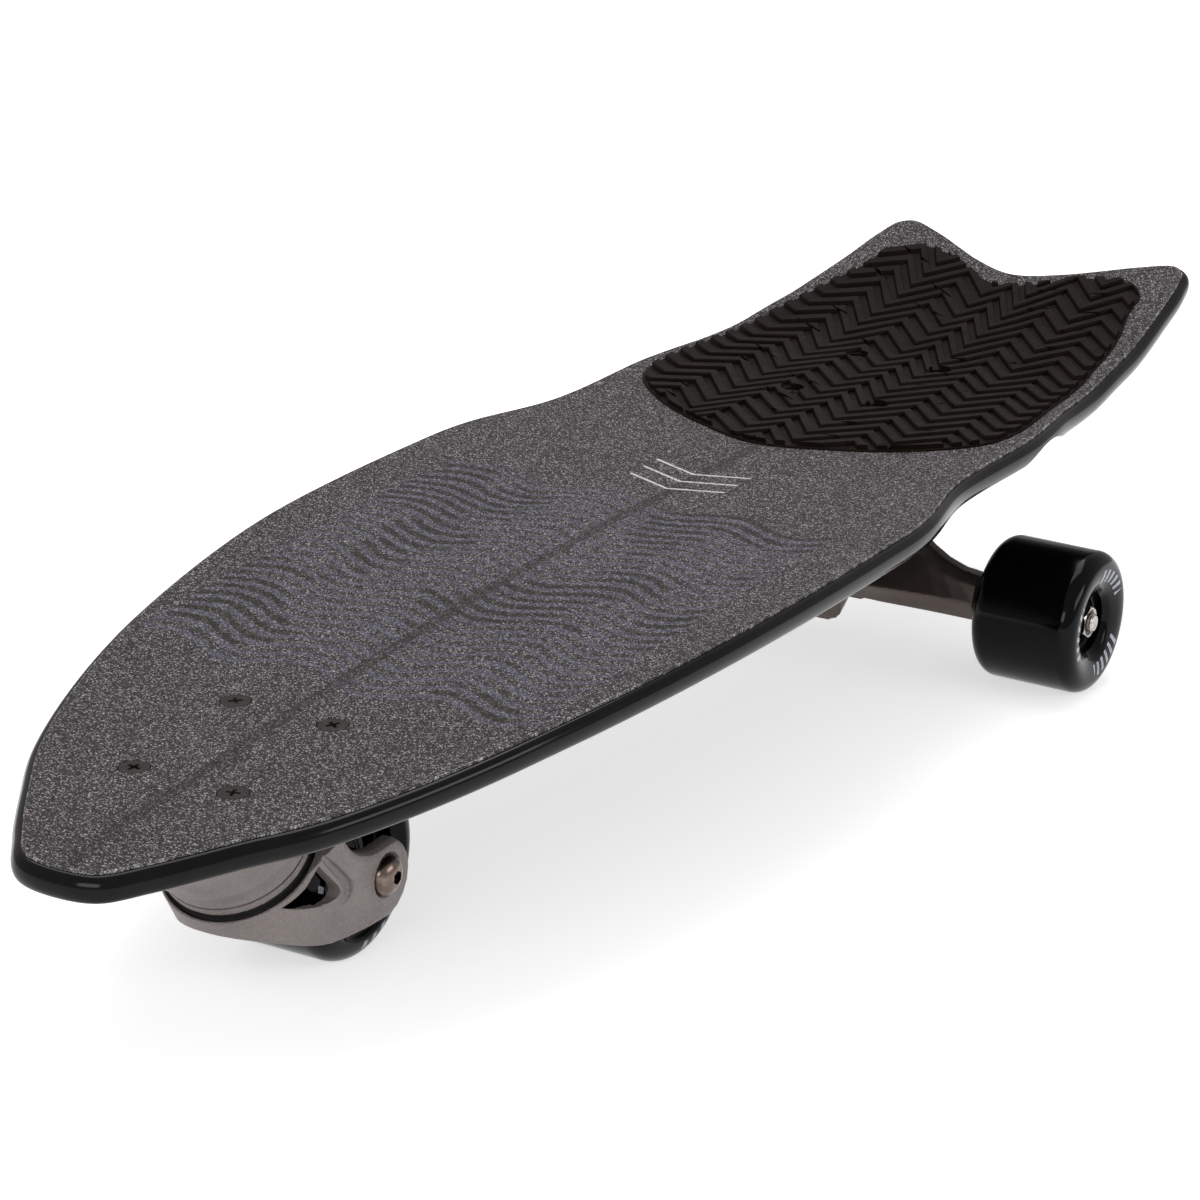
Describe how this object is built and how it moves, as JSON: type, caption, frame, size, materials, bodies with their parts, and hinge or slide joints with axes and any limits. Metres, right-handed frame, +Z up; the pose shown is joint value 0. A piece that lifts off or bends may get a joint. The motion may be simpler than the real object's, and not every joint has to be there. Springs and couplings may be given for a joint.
{
  "type": "surf skateboard",
  "caption": "Surf skateboard with a swallow-tail deck, a grooved tail pad, a front wheel in a swivelling cast fork and a rear truck with bushings.",
  "frame": {"origin": "on the ground under the middle of the board", "axes": "+Y from the nose to the tail along the board, +Z up, +X to the rider's left when facing the nose"},
  "size_m": [0.245, 0.797, 0.1458],
  "materials": {
    "lacquer": "gloss black lacquered rail over the ply",
    "grit": "charcoal abrasive grip",
    "pad_rubber": "dark brown-black grooved rubber",
    "cast_metal": "bead-blasted grey casting",
    "hanger_metal": "satin bronze-grey casting",
    "black_steel": "black zinc plated steel",
    "bright_steel": "bright steel",
    "urethane": "gloss black urethane",
    "core_plastic": "black moulded core",
    "black_rubber": "black rubber"
  },
  "bodies": {
    "board": {"deck": "lacquer", "grip_sheet": "grit", "traction_pad": "pad_rubber", "front_screw_1": "black_steel", "front_screw_2": "black_steel", "front_screw_3": "black_steel", "front_screw_4": "black_steel", "front_nut_3": "bright_steel", "front_nut_4": "bright_steel", "rear_screw_1": "black_steel", "rear_screw_2": "black_steel", "rear_screw_3": "black_steel", "rear_screw_4": "black_steel", "rear_nut_1": "bright_steel", "rear_nut_2": "bright_steel", "rear_nut_3": "bright_steel", "rear_nut_4": "bright_steel", "swivel_housing": "cast_metal", "lower_swivel_bearing": "bright_steel", "upper_swivel_bearing": "bright_steel", "swivel_seal": "black_rubber", "rear_riser": "black_rubber", "rear_baseplate": "hanger_metal", "pivot_cup": "black_rubber", "board_bushing": "black_rubber", "road_bushing": "black_rubber", "upper_cup_washer": "bright_steel", "lower_cup_washer": "bright_steel", "kingpin": "black_steel", "kingpin_nut": "black_steel"},
    "fork": {"fork": "cast_metal", "swivel_pin": "bright_steel", "swivel_washer": "bright_steel", "swivel_nut": "bright_steel", "front_axle_bolt": "bright_steel", "front_axle_nut": "bright_steel", "front_spacer_left": "black_steel", "front_spacer_right": "black_steel"},
    "front_wheel": {"front_tyre": "urethane", "front_core": "core_plastic", "front_bearing_left": "bright_steel", "front_bearing_right": "bright_steel"},
    "hanger": {"rear_hanger": "hanger_metal", "rear_axle": "bright_steel", "inner_washer_left": "bright_steel", "inner_washer_right": "bright_steel", "outer_washer_left": "bright_steel", "outer_washer_right": "bright_steel", "axle_nut_left": "bright_steel", "axle_nut_right": "bright_steel"},
    "rear_wheel_left": {"rear_tyre_left": "urethane", "rear_core_left": "core_plastic", "rear_bearing_left_inner": "bright_steel", "rear_bearing_left_outer": "bright_steel"},
    "rear_wheel_right": {"rear_tyre_right": "urethane", "rear_core_right": "core_plastic", "rear_bearing_right_inner": "bright_steel", "rear_bearing_right_outer": "bright_steel"}
  },
  "joints": [
    {"name": "fork_swivel", "type": "hinge", "parent": "board", "child": "fork", "pos_m": [0, -0.28452, 0.05049], "axis": [0, -0.5878, 0.809], "continuous": true},
    {"name": "front_wheel_spin", "type": "hinge", "parent": "fork", "child": "front_wheel", "pos_m": [0, -0.23802, 0.03583], "axis": [1, 0, 0], "continuous": true},
    {"name": "rear_steer", "type": "hinge", "parent": "board", "child": "hanger", "pos_m": [0, 0.21904, 0.05937], "axis": [0, 0.8052, 0.5931], "range_deg": [-12, 12], "stiffness_Nm_per_rad": 40, "deforming": ["board_bushing", "road_bushing"]},
    {"name": "rear_left_spin", "type": "hinge", "parent": "hanger", "child": "rear_wheel_left", "pos_m": [0.098, 0.20485, 0.03155], "axis": [1, 0, 0], "continuous": true},
    {"name": "rear_right_spin", "type": "hinge", "parent": "hanger", "child": "rear_wheel_right", "pos_m": [-0.098, 0.20485, 0.03155], "axis": [1, 0, 0], "continuous": true}
  ]
}
